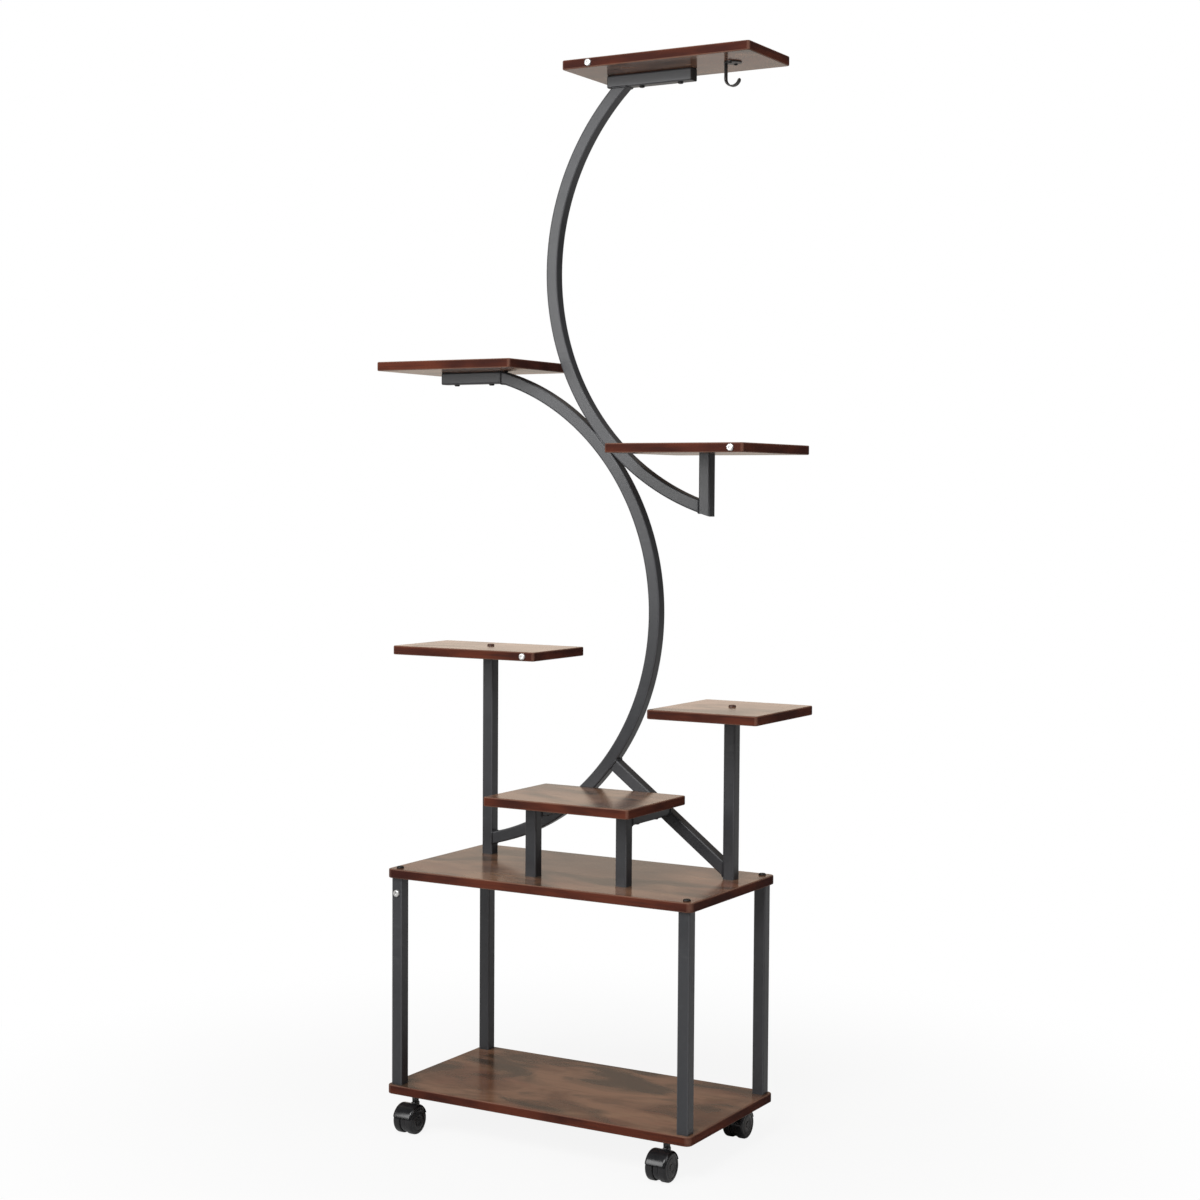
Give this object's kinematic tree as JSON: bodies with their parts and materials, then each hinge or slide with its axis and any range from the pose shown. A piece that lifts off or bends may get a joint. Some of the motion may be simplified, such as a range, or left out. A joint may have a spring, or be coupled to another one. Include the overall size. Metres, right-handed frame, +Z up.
{
  "type": "rolling plant stand",
  "caption": "Wheeled cart with storage between its decks and a frame of bent square tubes above it that carries staggered rectangular shelves for pots, with a hook under the top one.",
  "frame": {"origin": "on the floor, under the middle of the whole stand's outline seen from above", "axes": "+Z up; X along the cart's long side, +X to the right seen from the front; the front faces -Y"},
  "size_m": [0.7172, 0.3477, 1.7263],
  "materials": {
    "board": "glossy dark red-brown laminate with a rustic grain",
    "tube": "satin black powder coat",
    "caster_plastic": "glossy black moulding",
    "wheel_plastic": "glossy black moulding",
    "cap_plastic": "matt black moulding",
    "dark_screw": "black phosphate",
    "bright_screw": "bright zinc plate",
    "steel": "zinc plate",
    "hook_metal": "satin black paint"
  },
  "bodies": {
    "stand": {"bracket_end_caps": "cap_plastic", "bracket_screws": "dark_screw", "caster_front_left_stem": "steel", "caster_front_right_stem": "steel", "caster_insert_nuts": "steel", "caster_rear_left_stem": "steel", "caster_rear_right_stem": "steel", "centre_shelf": "board", "edge_screws": "bright_screw", "front_left_leg": "tube", "front_right_leg": "tube", "hook_screws": "dark_screw", "left_bracket": "tube", "left_middle_shelf": "board", "left_post": "tube", "leg_base_screws": "dark_screw", "leg_end_nuts": "steel", "leg_side_screw": "bright_screw", "leg_top_screws": "dark_screw", "lower_arc": "tube", "lower_deck_board": "board", "lower_left_shelf": "board", "lower_right_shelf": "board", "plant_hook": "hook_metal", "post_base_screws": "dark_screw", "post_end_nuts": "steel", "rear_left_leg": "tube", "rear_right_leg": "tube", "right_brace": "tube", "right_middle_shelf": "board", "right_post": "tube", "shelf_centre_screws": "dark_screw", "shelf_stub": "tube", "stool_left_bar": "tube", "stool_left_leg": "tube", "stool_right_bar": "tube", "stool_right_leg": "tube", "stool_screws": "dark_screw", "top_bracket": "tube", "top_shelf": "board", "upper_arc": "tube", "upper_deck_board": "board"},
    "front_left_fork": {"caster_front_left_hood": "caster_plastic", "caster_front_left_axle": "steel"},
    "front_left_left_wheel": {"caster_front_left_left_wheel": "wheel_plastic"},
    "front_left_right_wheel": {"caster_front_left_right_wheel": "wheel_plastic"},
    "front_right_fork": {"caster_front_right_hood": "caster_plastic", "caster_front_right_axle": "steel"},
    "front_right_left_wheel": {"caster_front_right_left_wheel": "wheel_plastic"},
    "front_right_right_wheel": {"caster_front_right_right_wheel": "wheel_plastic"},
    "rear_left_fork": {"caster_rear_left_hood": "caster_plastic", "caster_rear_left_axle": "steel"},
    "rear_left_left_wheel": {"caster_rear_left_left_wheel": "wheel_plastic"},
    "rear_left_right_wheel": {"caster_rear_left_right_wheel": "wheel_plastic"},
    "rear_right_fork": {"caster_rear_right_hood": "caster_plastic", "caster_rear_right_axle": "steel"},
    "rear_right_left_wheel": {"caster_rear_right_left_wheel": "wheel_plastic"},
    "rear_right_right_wheel": {"caster_rear_right_right_wheel": "wheel_plastic"}
  },
  "joints": [
    {"name": "front_left_swivel", "type": "hinge", "parent": "stand", "child": "front_left_fork", "pos_m": [-0.21044, -0.13315, 0.029], "axis": [0, 0, 1], "continuous": true},
    {"name": "front_left_left_spin", "type": "hinge", "parent": "front_left_fork", "child": "front_left_left_wheel", "pos_m": [-0.22189, -0.14915, 0.023], "axis": [1, 0, 0], "continuous": true},
    {"name": "front_left_right_spin", "type": "hinge", "parent": "front_left_fork", "child": "front_left_right_wheel", "pos_m": [-0.19899, -0.14915, 0.023], "axis": [1, 0, 0], "continuous": true},
    {"name": "front_right_swivel", "type": "hinge", "parent": "stand", "child": "front_right_fork", "pos_m": [0.25556, -0.13315, 0.029], "axis": [0, 0, 1], "continuous": true},
    {"name": "front_right_left_spin", "type": "hinge", "parent": "front_right_fork", "child": "front_right_left_wheel", "pos_m": [0.24411, -0.14915, 0.023], "axis": [1, 0, 0], "continuous": true},
    {"name": "front_right_right_spin", "type": "hinge", "parent": "front_right_fork", "child": "front_right_right_wheel", "pos_m": [0.26701, -0.14915, 0.023], "axis": [1, 0, 0], "continuous": true},
    {"name": "rear_left_swivel", "type": "hinge", "parent": "stand", "child": "rear_left_fork", "pos_m": [-0.21044, 0.12485, 0.029], "axis": [0, 0, 1], "continuous": true},
    {"name": "rear_left_left_spin", "type": "hinge", "parent": "rear_left_fork", "child": "rear_left_left_wheel", "pos_m": [-0.22189, 0.10885, 0.023], "axis": [1, 0, 0], "continuous": true},
    {"name": "rear_left_right_spin", "type": "hinge", "parent": "rear_left_fork", "child": "rear_left_right_wheel", "pos_m": [-0.19899, 0.10885, 0.023], "axis": [1, 0, 0], "continuous": true},
    {"name": "rear_right_swivel", "type": "hinge", "parent": "stand", "child": "rear_right_fork", "pos_m": [0.25556, 0.12485, 0.029], "axis": [0, 0, 1], "continuous": true},
    {"name": "rear_right_left_spin", "type": "hinge", "parent": "rear_right_fork", "child": "rear_right_left_wheel", "pos_m": [0.24411, 0.10885, 0.023], "axis": [1, 0, 0], "continuous": true},
    {"name": "rear_right_right_spin", "type": "hinge", "parent": "rear_right_fork", "child": "rear_right_right_wheel", "pos_m": [0.26701, 0.10885, 0.023], "axis": [1, 0, 0], "continuous": true}
  ]
}
